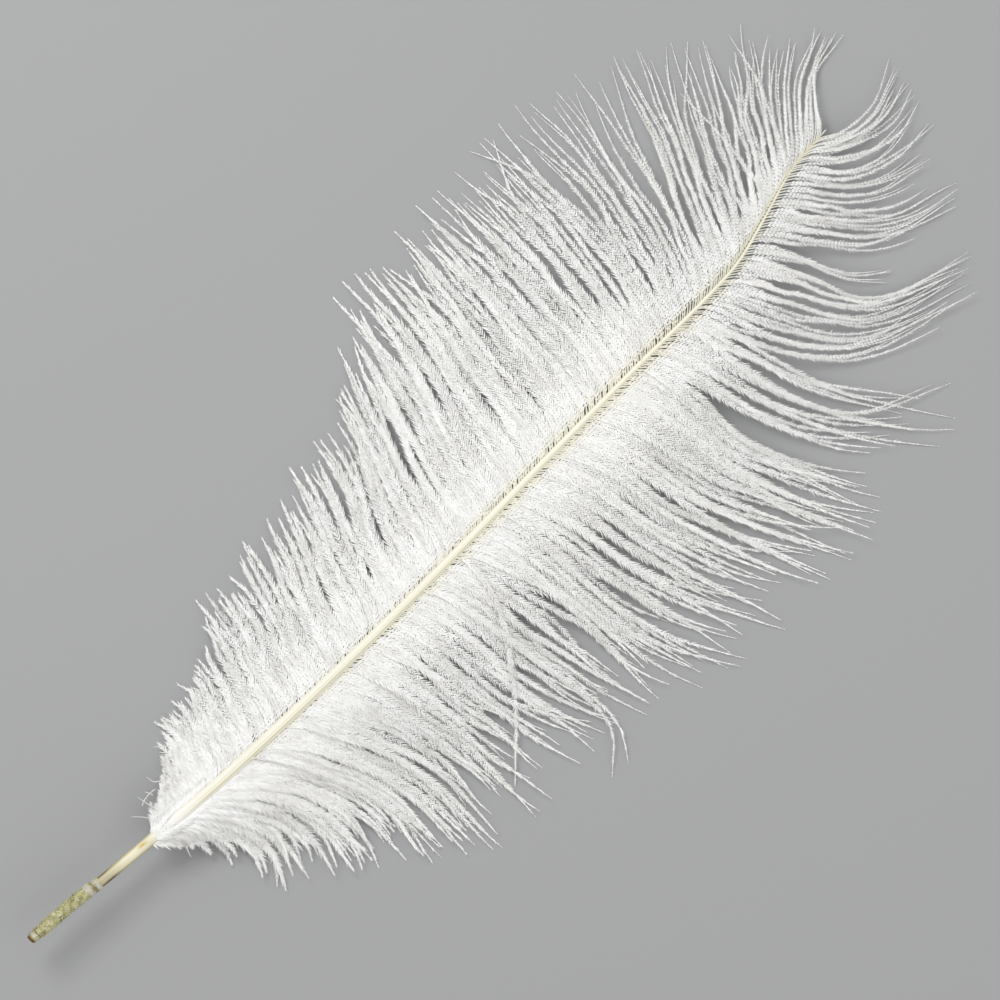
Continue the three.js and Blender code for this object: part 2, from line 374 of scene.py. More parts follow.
def sheath_surface():
    """The crust: rings round the quill, thicker by the profile, by broad lumps and by the sharp
    edges of its flakes, and closed round a short hollow at the broken end."""
    x = np.linspace(SHEATH_PROFILE[0, 0], SHEATH_PROFILE[-1, 0], SHEATH_STEPS)
    middle, wide, deep = shaft_at(np.maximum(x, SHAFT[0, 0]))
    middle[:, 0] = x
    side, crown = cross_frame(unit(np.gradient(middle, axis=0)))
    broad = lumps(SHEATH_STEPS, SHEATH_CORNERS, 26, 9) - 0.5
    flake = lumps(SHEATH_STEPS, SHEATH_CORNERS, 90, 26)
    crumb = lumps(SHEATH_STEPS, SHEATH_CORNERS, 170, 52) - 0.5
    skin = np.interp(x, SHEATH_PROFILE[:, 0], SHEATH_PROFILE[:, 1])[:, None]
    rough = smoothstep(0.04, 0.2, skin)
    skin = skin + rough * (0.16 * broad + 0.12 * smoothstep(0.5, 0.62, flake) + 0.09 * crumb)
    turn = 2 * np.pi * np.arange(SHEATH_CORNERS)[None, :] / SHEATH_CORNERS - np.pi / 2
    across = np.cos(turn) * (wide[:, None] + skin)
    height = np.sin(turn) * (deep[:, None] + skin)
    x_shift = 0.35 * (lumps(SHEATH_STEPS, SHEATH_CORNERS, 8, 17) - 0.5)
    rings = middle[:, None] + across[..., None] * side[:, None] + height[..., None] * crown[:, None]
    rings[..., 0] += x_shift * smoothstep(-142.5, -139.5, x)[:, None]
    mouth = rings[0] - middle[0]
    hollow = [middle[0] + mouth * share + np.array([sink, 0, 0])
              for share, sink in ((0.5, 0.9), (0.62, 0.5), (0.72, 0.12), (0.86, -0.1))]
    return np.concatenate([np.stack(hollow), rings])


crust = Paint("dried_sheath", Roughness=0.85, Specular_IOR_Level=0.2)
where = crust.place()
along = crust.axis(where, 0) * (1 / MM) + BOX_CENTRE[0]
blotch = crust.noise(where, 520.0, 4.0)
speck = crust.noise(where, 2100.0, 2.0)
paper = crust.blend(blotch.ramp(0.32, 0.62), (0.30, 0.285, 0.12), (0.56, 0.54, 0.29))
paper = crust.blend(speck.ramp(0.54, 0.7) * 0.85, paper, (0.80, 0.80, 0.68))
paper = crust.blend((speck.ramp(0.42, 0.30) * 0.5).clamp(), paper, (0.30, 0.27, 0.09))
chalk = along.bell(-141.8, 1.7) + along.bell(-138.9, 1.3) + along.bell(-162.2, 0.8) * 0.7
paper = crust.blend((chalk * (blotch + speck - 0.2)).clamp(), paper, (0.66, 0.65, 0.59))
rust = along.ramp(-162.6, -163.6) + along.bell(-161.1, 0.4) * 0.7 + along.bell(-140.2, 0.8) * 0.5
paper = crust.blend((rust * (0.5 + blotch)).clamp(), paper, (0.17, 0.07, 0.03))
crust.feed(Base_Color=paper, Normal=crust.raised(speck, 0.0002))

rings = sheath_surface()
new_piece("sheath", rings.reshape(-1, 3), *tube_faces(1, len(rings), SHEATH_CORNERS),
          crust.material, "sheath")

# Loose flakes and fibres of the sheath stand off it all round, and make its outline ragged.
FLAKES = 1300
x = chance.uniform(-163.2, -138.4, FLAKES)
middle, wide, deep = shaft_at(x)
turn = chance.uniform(0, 2 * np.pi, FLAKES)
skin = np.interp(x, SHEATH_PROFILE[:, 0], SHEATH_PROFILE[:, 1])
out = np.stack([0 * x, -np.cos(turn), np.sin(turn)], -1)
foot = middle + out * np.stack([0 * x, wide + skin, deep + skin], -1)
round_it = np.stack([0 * x, np.sin(turn), np.cos(turn)], -1)
lean = (np.stack([chance.normal(0, 1, FLAKES), 0 * x, 0 * x], -1)
        + round_it * chance.normal(0, 0.7, (FLAKES, 1)))
lift = chance.uniform(0.05, 0.8, (FLAKES, 1)) ** 1.5
points, faces = blades(foot, unit(lean + out * lift * 2.5), unit(lean + out * lift),
                       chance.uniform(0.3, 0.9, (FLAKES, 1)), chance.uniform(0.08, 0.28, (FLAKES, 1)))
strip = np.stack([(x + 164) / 27, turn / 7], -1)[:, None, None, :] + np.zeros(faces.shape + (2,))
new_piece("sheath_flakes", points.reshape(-1, 3), faces.reshape(-1, 3), strip, crust.material, "sheath",
          rounded=False)

# The lie of the two vanes
# A plume's barbs have no hooks, so they lie loose and part into locks. Each row is a stream that
# they follow: where it leaves the shaft, two points that it passes, and where its longest barb ends.
LEFT_STREAMS = np.array([
    [-109, -107.5, 0, -105, 3.5, -102, 7.5],
    [-97.5, -95.5, 3, -91.5, 10, -90.5, 18.5],
    [-87, -84.5, 4.5, -80.5, 14, -80, 20.5],
    [-76.5, -73.5, 6, -69.5, 18, -67, 28.5],
    [-68.5, -65.5, 7, -61, 21, -58.5, 34.5],
    [-60.5, -57, 8, -52, 22, -49, 34.5],
    [-52.5, -48.5, 8, -43, 23, -40, 36.5],
    [-44.5, -40, 8.5, -33.5, 25, -30, 39],
    [-36.5, -31.5, 9, -25, 26, -21, 41],
    [-28.5, -22.5, 10, -15, 28, -10.5, 45],
    [-20.5, -14, 11, -4.5, 31, 0.5, 50],
    [-13, -6, 12, 3, 31, 7.5, 45],
    [-5, 2.5, 14, 10.5, 34, 15, 53.5],
    [3, 10, 15, 18, 39, 24, 58.5],
    [11, 17, 15, 24.5, 39, 30.5, 60],
    [18.5, 23.5, 15, 31, 41, 34, 72.5],
    [26, 31, 15, 37.5, 42, 39.5, 68.5],
    [34, 38, 15, 43.5, 42, 45, 66],
    [42, 45.5, 14, 50, 42, 52, 70.5],
    [49.5, 53.5, 14, 57, 42, 57.5, 72],
    [57, 60.5, 14, 63, 41, 62.5, 71.5],
    [64.5, 68, 14, 70.5, 40, 69.5, 70.5],
    [72, 75.5, 14, 79.5, 40, 79.5, 71],
    [79.5, 84, 14, 87, 40, 87, 71],
    [86, 91, 14, 95, 38, 95, 69.5],
    [92, 98, 14, 103.5, 37, 103.5, 70.5],
    [97.5, 104.5, 14, 110.5, 38, 113.5, 69],
    [102.5, 112, 14, 118, 38, 127.5, 64.5],
    [108, 118.5, 13, 128, 34, 134, 61],
    [114, 123.5, 12, 133, 32, 146, 55],
    [120.5, 129.5, 11, 139, 30, 154.5, 48.5],
    [127.5, 137.5, 10, 147, 26, 156, 45.5],
    [135, 144.5, 10, 153.5, 25, 165.5, 42],
    [142, 151.5, 11, 160.5, 24, 174, 37],
    [149, 157, 9, 166, 19, 180, 29],
    [157, 163, 7, 172, 14.5, 188, 19.5],
])
RIGHT_STREAMS = np.array([
    [-115, -113, -11, -112, -18, -112.5, -24],
    [-108.5, -102.5, -14, -98, -27, -101.5, -42],
    [-103, -94.5, -16.5, -88, -30, -88.5, -49],
    [-97, -86, -20, -78.5, -36, -77.5, -59.5],
    [-90, -78.5, -21.5, -70, -40, -69, -64],
    [-82, -71, -23, -62.5, -43, -62, -67],
    [-73.5, -64.5, -24, -56.5, -45, -54, -74],
    [-65, -57.5, -24, -50, -46, -49.5, -80],
    [-57, -51, -24, -44.5, -46, -45, -69],
    [-49, -44, -24, -39, -47, -40, -80.5],
    [-41, -37.5, -24, -34, -46, -34, -81],
    [-33, -30, -24, -27, -46, -27, -70.5],
    [-25.5, -22.5, -24, -21, -48, -15, -82],
    [-18, -14.5, -24, -12, -48, -6, -83],
    [-10.5, -6.5, -24, -3.5, -48, 1, -86],
    [-3, 1, -24, 4, -48, 7, -82],
    [4, 9.5, -25, 14.5, -46, 10, -80],
    [11, 15, -24, 17, -50, 26.5, -92],
    [17.5, 21.5, -24, 23, -50, 30, -91],
    [24, 28, -24, 32, -50, 43.5, -94],
    [30.5, 35, -24, 40, -50, 50.5, -92],
    [37, 42, -24, 46.5, -48, 56, -90],
    [43.5, 49, -24, 53, -48, 67, -92],
    [50, 55, -24, 60, -48, 75.5, -94.5],
    [57, 62, -24, 67, -48, 83, -90],
    [64, 69, -24, 73, -48, 89, -94],
    [70.5, 75, -24, 79, -48, 93, -89.5],
    [77, 81, -25, 85, -50, 100.5, -92],
    [83.5, 88.5, -26, 95, -52, 117, -90],
    [90, 96, -26, 103, -50, 124, -89],
    [96, 103, -26, 111, -50, 129, -88],
    [100.5, 105.5, -27, 122, -50, 157, -64],
    [106, 112.5, -26, 128.5, -49, 160.5, -62],
    [112, 120, -25, 133, -46, 162, -60.5],
    [119, 129, -25, 138.5, -43, 168.5, -58],
    [125.5, 133.5, -22, 139, -34, 151, -44],
    [130, 139, -20, 151, -34, 169, -42.5],
    [135, 146, -20, 159, -34, 180, -40.5],
    [141, 153.5, -21, 164, -29.5, 179, -34.5],
    [147, 158, -17, 168.5, -22.5, 183.5, -25],
    [153, 162.5, -11.5, 174, -16, 189.5, -16],
    [159.5, 165.5, -5, 176, -6.5, 192.5, -2],
])
# Where the vane has opened and the table shows: both ends of each slit, and half its width.
LEFT_PARTINGS = [
    (-80, 0, -74.5, 22, 0.8), (-48.5, 9, -39.5, 30, 0.7), (-20, 2, -13, 16, 0.6),
    (-14, 2, -5, 16, 0.6), (-7, 23, 3, 39, 0.8), (3, 1, 8, 10, 0.5), (10, 10, 26, 50, 0.7),
    (36, 10, 41, 30, 0.6), (47.5, 30, 48.5, 47, 0.8), (52, 10, 55.5, 50, 0.8),
    (60, 17, 63, 35, 0.5), (70, 14, 74, 27, 0.6), (78, 10, 82, 45, 0.8), (89, 5, 92, 25, 0.7),
    (100, 10, 107, 40, 0.9), (104, 0, 112, 50, 0.8), (111, 4, 124, 60, 1.4),
    (121, 22, 132, 54, 1.3), (131, 11, 142, 42, 1.0), (151, 5, 166, 26, 0.8),
]
RIGHT_PARTINGS = [
    (-77, -36, -77, -50, 0.9), (-69, -15, -66, -32, 0.7), (-33, -17, -31, -31, 0.7),
    (-19, -20, -15, -44, 0.9), (0, -29, 2, -46, 0.8), (7, -30, 7, -60, 1.0),
    (12, -42, 11, -60, 0.9), (14.5, -50, 15, -72, 1.2), (24, -40, 30, -67, 1.1),
    (53, -25, 60, -50, 0.9), (70, -50, 74, -64, 1.1), (81, -30, 91, -64, 1.2),
    (115, -27, 134, -52, 1.2),
]
ROUTE_STEPS, ROOT_CROWDING = 26, 1.6
FRINGE = 0.1  # room in a slit for the barbules on its sides
STEP_SHARES = np.linspace(0, 1, ROUTE_STEPS) ** ROOT_CROWDING


def stream_routes(streams):
    """Each stream's line from above, from the shaft to its tip. Its steps are short at the shaft,
    where barbs bend most: a step's share of the way is its number's share to a power."""
    roots = shaft_at(streams[:, 0])[0][:, None, :2]
    fine = smooth_route(np.concatenate([roots, streams[:, 1:].reshape(-1, 3, 2)], axis=1), 30)
    gone = np.cumsum(np.linalg.norm(np.diff(fine, axis=1), axis=2), axis=1)
    gone = np.concatenate([np.zeros((len(streams), 1)), gone], axis=1) / gone[:, -1:]
    return np.stack([[np.interp(STEP_SHARES, g, f[:, k]) for k in (0, 1)] for g, f in zip(gone, fine)]
                    ).transpose(0, 2, 1)


def step_at(share):
    """Which two steps of a route a share of its way lies between, and how far it is past the first."""
    at = np.clip(share, 0, 1) ** (1 / ROOT_CROWDING) * (ROUTE_STEPS - 1)
    step = np.minimum(at.astype(int), ROUTE_STEPS - 2)
    return step, (at - step)[..., None]


def part_vane(lines, slit):
    """Routes moved aside from a straight slit, which widens by a power of a sine from its ends to
    its middle. Each route keeps to the side that it is mostly on, at a distance that is the root of
    the summed squares of its own and of the slit's half width there with room for the fringes."""
    start, end, half = np.array(slit[:2]), np.array(slit[2:4]), slit[4]
    length = np.linalg.norm(end - start)
    ahead = (end - start) / length
    out = np.array([-ahead[1], ahead[0]])
    share = ((lines - start) @ ahead) / length
    aside = (lines - start) @ out
    opening = (half + min(FRINGE, half)) * np.sin(np.pi * np.clip(share, 0, 1)) ** 1.5
    hand = np.where((aside * opening).sum(axis=1) < 0, -1.0, 1.0)[:, None]
    kept = np.sqrt(np.maximum(hand * aside, 0) ** 2 + opening ** 2)
    near = smoothstep(0, 0.4, share) * (1 - smoothstep(0.6, 1, share))
    return lines + ((hand * kept - aside) * near)[..., None] * out


# The barbs
# Each is a soft horn thread, broad where it grows from the shaft and hardly thicker than a hair
# beyond. It leaves the shaft leaning forward, bends square to it within a few millimetres, and
# hangs down to the table. Neighbours cling together in small groups.
BARB_SPACING, SPACING_JITTER = 1.0, 0.13
DENSE_UP_TO = -82  # along the shaft: barbs are twice as close below it
SPARSE_FROM = 62, 112  # along the shaft: from where and until where barbs get thinner and looser
TORN_FROM, TORN_GAP = 60, (14, 18)  # along the shaft, and between the ends of two streams
ROOT_LEAN, LEAN_REACH = 2.6, 2.2  # how far back a root is set, and how fast that fades
SLIT_START, SLIT_RUN = (0.06, 0.55), (0.15, 0.4)  # shares of the way of a random slit's barb
SLIT_HALF, FULL_SLIT_REACH = (0.3, 0.95), 50  # half width, and how long a barb has it in full
WANDER, LONG_ONES = 0.6, 0.18  # swing of a group, and the share of barbs that keep their length
TOUCHDOWN, LIFT = 0.82, 0.4  # the share of the way where a barb meets the table, and its height there
LAYERS, TIP_CURL, STRAY_RISE = 1.5, 3.0, 2.6  # most that a group, a tip and a stray lie higher


def barb_places(first, last):
    """Where barbs leave the shaft: evenly spaced with a little jitter, and twice as close in the
    down at the vane's foot."""
    x = np.concatenate([np.arange(first, last, BARB_SPACING),
                        np.arange(first, DENSE_UP_TO, BARB_SPACING) + BARB_SPACING / 2])
    return np.sort(x + chance.normal(0, SPACING_JITTER, len(x)))


def between_streams(x, streams, hold):
    """Each barb's line from above, its own stream, and whether it is the first past a tear. The line
    is a blend of the streams on either side, drawn a little to its own one. Where two streams end
    far apart the vane is torn, and each barb goes over to the nearer of them."""
    guides = stream_routes(streams)
    t = STEP_SHARES[None, :]
    row = np.interp(x, streams[:, 0], np.arange(len(streams)))
    low = np.minimum(row.astype(int), len(streams) - 2)
    own = np.rint(row + chance.normal(0, 0.1, len(x))).astype(int)
    own = np.clip(own, 0, len(streams) - 1)
    apart = np.linalg.norm(np.diff(guides[:, -1], axis=0), axis=1)
    torn = (smoothstep(*TORN_GAP, apart)[low] * (x > TORN_FROM))[:, None]
    part = (row - low)[:, None]
    part = (part + (np.rint(part) - part) * torn * smoothstep(0.05, 0.5, t))[..., None]
    free = guides[low] * (1 - part) + guides[low + 1] * part
    beyond = x - np.clip(x, streams[0, 0], streams[-1, 0])
    free[..., 0] += beyond[:, None] * (1 - t)
    drawn = chance.uniform(*hold, len(streams))[own][:, None] * smoothstep(0.15, 0.8, t)
    past_tear = (np.diff(np.rint(row), prepend=0) != 0) & (torn[:, 0] > 0.5)
    return free + (guides[own] - free) * drawn[..., None], own, past_tear


def clinging_groups(x, sizes, past_tear):
    """The number of each barb's group of neighbours. The sizes of the groups are drawn by their
    chances. A new one also starts past a tear, and now and then among the sparse barbs."""
    size = chance.choice(len(sizes), len(x), p=sizes) + 1
    full = np.diff(np.repeat(np.arange(len(x)), size)[:len(x)], prepend=0) != 0
    astray = chance.random(len(x)) < 0.12 * smoothstep(*SPARSE_FROM, x)
    group = np.cumsum(full | past_tear | astray)
    return group - group[0]


def group_draw(group, low, high):
    """A random number from low to high for each group, handed to its barbs."""
    return chance.uniform(low, high, group[-1] + 1)[group][:, None]


def cling_together(line, x, group, grip):
    """Lines drawn to the middle of their group. The grip starts at a share of the way, earlier where
    barbs are sparse, and loosens at the tips. A slow sine swings the whole group along the shaft."""
    t = STEP_SHARES[None, :]
    sparse = smoothstep(*SPARSE_FROM, x)[:, None]
    starts = np.flatnonzero(np.diff(group, prepend=-1))
    middle = np.add.reduceat(line, starts, axis=0) / np.bincount(group)[:, None, None]
    begin = group_draw(group, 0.03, 0.42) * (1 - 0.85 * sparse)
    cling = group_draw(group, *grip)
    cling = (cling + (0.95 - cling) * sparse) * smoothstep(begin, begin + 0.3, t)
    cling = cling * (1 - 0.4 * smoothstep(0.7, 1.0, t))
    line = line + (middle[group] - line) * cling[..., None]
    swing, turns, start = (group_draw(group, *limits) for limits in ((-1, 1), (1.5, 4), (0, 6.3)))
    line[..., 0] += WANDER * swing * t * np.sin(np.pi * turns * t + start)
    return line


def opened(line, partings, slits):
    """Lines moved aside by the slits that stand out, and then by a number of random ones. Each of
    those opens along a stretch of one barb, below the vane's tip, and less where barbs are short."""
    for slit in partings:
        line = part_vane(line, slit)
    below_tip = int(0.93 * len(line))
    for barb, start, run, half in zip(
            chance.integers(0, below_tip, slits), chance.uniform(*SLIT_START, slits),
            chance.uniform(*SLIT_RUN, slits), chance.uniform(*SLIT_HALF, slits)):
        reach = np.linalg.norm(line[barb, -1] - line[barb, 0])
        ends = [line[barb, np.searchsorted(STEP_SHARES, place)] for place in (start, start + run)]
        line = part_vane(line, (*ends[0], *ends[1], half * min(reach / FULL_SLIT_REACH, 1)))
    return line


def cut_short(line, x, own, group, shares, base):
    """Lines that end at a share of their way, and those shares. A share is the product of a random
    one for the barb's stream, for its group and for itself, and of the growth at the vane's foot.
    shares is the streams' middle one, its spread and the number of streams. A few long ones keep
    nearly all of their way."""
    share = (chance.normal(*shares)[own] * chance.normal(0.97, 0.03, group[-1] + 1)[group]
             * chance.uniform(0.9, 1.0, len(x)))
    share = np.where(chance.random(len(x)) < LONG_ONES, chance.uniform(0.95, 1.0, len(x)), share)
    share = (np.clip(share, 0.5, 1.0) * np.interp(x, *base))[:, None]
    step, rest = step_at(share * STEP_SHARES)
    rows = np.arange(len(x))[:, None]
    return line[rows, step] * (1 - rest) + line[rows, step + 1] * rest, share


def way_lengths(line):
    """The length of each line."""
    return np.linalg.norm(np.diff(line, axis=1), axis=2).sum(axis=1)[:, None]


def swayed(line, length, x, hook):
    """Lines moved aside by a bow that grows with the cube of the way and by two waves, all random,
    and with tips that hook along the shaft by the fourth power of the way."""
    t = STEP_SHARES[None, :]
    ahead = unit(np.gradient(line, axis=1))
    right = np.stack([ahead[..., 1], -ahead[..., 0]], -1)
    sway = chance.normal(0, 1, (3, len(x), 1))
    phase = chance.uniform(0, 2 * np.pi, (len(x), 1))
    drift = (sway[0] * 2.1 * t**3 + sway[1] * 0.6 * t * np.sin(5 * t + phase)
             + sway[2] * 0.22 * t * np.sin(14 * t + 2 * phase)) * np.sqrt(length / 60)
    line = line + right * drift[..., None]
    line[..., 0] += (np.minimum(chance.gamma(1.3, hook, (len(x), 1)), 2 * hook) * t**4 * length / 70
                     * np.interp(x, [-95, -70, -40], [-1.0, 0.0, 1.0])[:, None])
    return line


def leaning(line, length, x):
    """Lines set back along the shaft at their roots. The setback fades exponentially once a line
    is past the shaft's edge."""
    wide = shaft_at(x)[1][:, None]
    past_edge = np.maximum(STEP_SHARES * length - 0.8 * wide, 0)
    line[..., 0] -= ROOT_LEAN * np.exp(-past_edge / LEAN_REACH)
    return line


def vane_barbs(streams, partings, slits, first, last, grip, hold, shares, hook, base, sizes):
    """Barb routes (barbs, steps, 3), where they leave the shaft, and their lengths. slits is the
    number of random slits. grip and hold are how firmly barbs cling to their group and stream.
    shares is the middle and the spread of a stream's share of the way, hook how far tips bend, base
    how barbs grow at the vane's foot, and sizes the chances of a group of one barb, of two, and so
    on. A barb sinks to the table on a smooth slope, over or under its neighbours, and a few curl up
    at the tip."""
    x = barb_places(first, last)
    line, own, past_tear = between_streams(x, streams, hold)
    group = clinging_groups(x, sizes, past_tear)
    line = opened(cling_together(line, x, group, grip), partings, slits)
    line, share = cut_short(line, x, own, group, (*shares, len(streams)), base)
    length = way_lengths(line)
    line = leaning(swayed(line, length, x, hook), length, x)

    t = STEP_SHARES[None, :]
    middle, _, deep = shaft_at(x)
    fall = 1 - smoothstep(0, TOUCHDOWN, share * t)
    layer = group_draw(group, 0, LAYERS) * np.sin(np.pi * t) ** 0.7
    loose = np.abs(chance.normal(0, 0.3, (len(x), 1))) * np.sin(np.pi * t)
    curl = (chance.random((len(x), 1)) ** 3) * TIP_CURL * smoothstep(0.65, 1.0, t)
    height = (middle[:, 2] - 0.15 * deep)[:, None] * fall + LIFT + layer + loose + curl
    return np.concatenate([line, height[..., None]], axis=2), x, length[:, 0]


left_barbs, left_x, left_length = vane_barbs(
    LEFT_STREAMS, LEFT_PARTINGS, 340, -116.5, 165.0, grip=(0.6, 1.0), hold=(0.0, 0.22),
    shares=(0.95, 0.035), hook=0.8, base=([-117, -110, -104], [0.45, 0.8, 1.0]),
    sizes=(0.2, 0.3, 0.3, 0.2))
right_barbs, right_x, right_length = vane_barbs(
    RIGHT_STREAMS, RIGHT_PARTINGS, 190, -117.0, 165.0, grip=(0.7, 1.0), hold=(0.0, 0.3),
    shares=(0.92, 0.05), hook=3.2, base=([-117.5, -114, -108], [0.3, 0.65, 1.0]),
    sizes=(0.1, 0.25, 0.3, 0.25, 0.1))

# Single barbs that stray across their neighbours: the same four places as a stream.
STRAYS = np.array([
    [4, 0, -28, -15, -50, -34, -69],
    [96, 100, -40, 112, -63, 133, -73],
    [97, 101, -42, 113, -64, 138, -77],
    [21, 24, -35, 26, -54, 31, -67],
    [79, 82, -35, 85, -53, 90, -66],
    [-10, -5, -40, -2, -76, -12, -87],
    [-9, -4, -42, 0, -77, -6, -87.5],
    [-80, -71, -25, -64, -48, -64, -68],
    [90, 95, 20, 96, 50, 88, 70],
    [82, 85, 20, 87, 50, 95, 67],
    [138, 141, 10, 142.5, 24, 143, 38],
    [149, 155, 12, 161, 24, 165, 40],
    [158, 165, -5, 177, -8, 188, -5],
    [160, 166, -5, 179, -9, 191, -6],
    [157, 165, -7, 180, -12, 191, -9],
    [155, 163, -9, 178, -15.5, 190, -13],
    [149, 159, -14, 174, -20, 187, -19.5],
    [162, 167, -3, 180, -4, 193, 2],
])


def stray_barbs(streams):
    """Routes of single barbs that lie on top of the vane, with the same fall to the table."""
    x = streams[:, 0]
    line = stream_routes(streams)
    length = way_lengths(line)
    t = STEP_SHARES[None, :]
    fall = 1 - smoothstep(0, TOUCHDOWN, t)
    height = shaft_at(x)[0][:, 2:] * fall + LIFT + STRAY_RISE * np.sin(np.pi * t) ** 0.6
    return np.concatenate([leaning(line, length, x), height[..., None]], axis=2), x, length[:, 0]


stray_routes, stray_x, stray_length = stray_barbs(STRAYS)

# The barbules
# Every barb is fringed on both sides with short soft barbules that lean forward, so that a barb
# looks like a narrow white ribbon of down. They are short for the first millimetres from the shaft,
# where the barbs' bare roots show, and again towards the tip.
BARBULE_SPACING, CLOSER_IN_DOWN = 0.47, 0.2
DOWNY_FROM = -88, -110  # along the shaft: from where and until where barbs turn to down
SHARE_STOPS = [0, 0.25, 0.5, 0.75, 0.9, 1]  # of a barb's way, for the next three rows
FINE_REACH = [2.9, 2.8, 2.4, 1.9, 1.5, 1.0]
BLUNT_REACH = [2.9, 2.8, 2.7, 2.4, 1.9, 1.2]
BARBULE_ANGLES = [31, 34, 34, 29, 13, 4]
BARE_FOR, FULL_WITHIN = (0.0, 1.3), 2.0  # from the root to the first barbules, and on to full ones
TUFTING, TUFT_TURN = 0.28, 5.2  # how much their length swings along a barb, and how fast
HAIR, ROOT_SWELL, SWELL_REACH = 0.08, 0.5, 3.8  # half thicknesses of a thread, and how one fades
THREAD_CLEARANCE, FRINGE_CLEARANCE = 0.03, 0.05  # least height over the table


def three_sided(routes, thick, sunk=0.0):
    """Rings of three corners round each route, one of them on top. thick is how far they lie from
    its middle, and sunk the share of that by which they lie lower."""
    side, crown = cross_frame(unit(np.gradient(routes, axis=1)))
    turn = np.radians([-30.0, 90.0, 210.0])[:, None]
    return routes[:, :, None] + thick * (np.cos(turn) * side[:, :, None]
                                         + (np.sin(turn) - sunk) * crown[:, :, None])


def barb_threads(barbs, lengths, x):
    """The barbs' own threads. Their thickness is a hair's and a swelling at the root that falls off
    exponentially, less where barbs are sparse. Past the root they sink under their barbules."""
    count = len(barbs)
    t = STEP_SHARES[None, :, None]
    gone = t * lengths[:, None, None]
    root = ROOT_SWELL * (1 - 0.5 * smoothstep(*SPARSE_FROM, x))[:, None, None]
    thick = HAIR + 0.04 * t + root * np.exp(-gone / SWELL_REACH)
    thick = thick * (1 - 0.7 * smoothstep(0.93, 1, t))
    rings = three_sided(barbs, thick[..., None], 0.9 * smoothstep(2, 6, gone)[..., None])
    rings[..., 2] = np.maximum(rings[..., 2], THREAD_CLEARANCE)
    faces, strip = tube_faces(count, ROUTE_STEPS, 3)
    lane = (np.repeat(np.arange(count), len(faces) // count) + 0.5) / count
    strip = np.stack([strip[..., 0] ** ROOT_CROWDING,
                      np.broadcast_to(lane[:, None], strip.shape[:2])], -1)
    return rings.reshape(-1, 3), faces, strip


def barbule_places(lengths, spacing):
    """Which barb each barbule grows on, its share of the way along it, and its hand, 1 or -1. They
    sit evenly but for two shifts: every two draw together, and each has a little jitter."""
    number = np.maximum((lengths / spacing).astype(int), 4)
    barb = np.repeat(np.arange(len(lengths)), number)
    rank = np.arange(number.sum()) - np.repeat(np.cumsum(number) - number, number)
    paired = chance.uniform(0.15, 0.32, len(lengths))[barb] * (1 - 2 * (rank % 2))
    t = (rank + 0.5 + paired) / number[barb]
    barb, t = np.tile(barb, 2), np.tile(t, 2)
    t = np.clip(t + chance.uniform(-0.2, 0.2, len(t)) / number[barb], 0, 1)
    return barb, t, np.repeat([1.0, -1.0], len(rank))[:, None]


def barbule_lengths(barb, t, lengths, downy, sparse, blunt):
    """A blend, by blunt, of the lengths along a fine-pointed barb and a blunt one. They are longer
    in the down and shorter where barbs are sparse, and a sine along the barb gathers them in tufts."""
    gone = t * lengths[barb]
    bare = chance.uniform(*BARE_FOR, len(lengths))[barb]
    long = (np.interp(t, SHARE_STOPS, FINE_REACH) * (1 - blunt)
            + np.interp(t, SHARE_STOPS, BLUNT_REACH) * blunt)
    long = long * (1 + 0.6 * downy * (1 - t)) * (1 - 0.42 * sparse) * chance.uniform(0.75, 1.25, len(t))
    long = long * (0.03 + 0.97 * smoothstep(bare, bare + FULL_WITHIN, gone))
    long = long * (1 - sparse * (1 - np.clip(lengths / 45, 0.55, 1)[barb]))
    return long * (1 + TUFTING * smoothstep(5, 20, gone) * np.sin(TUFT_TURN * gone + 2.4 * barb))


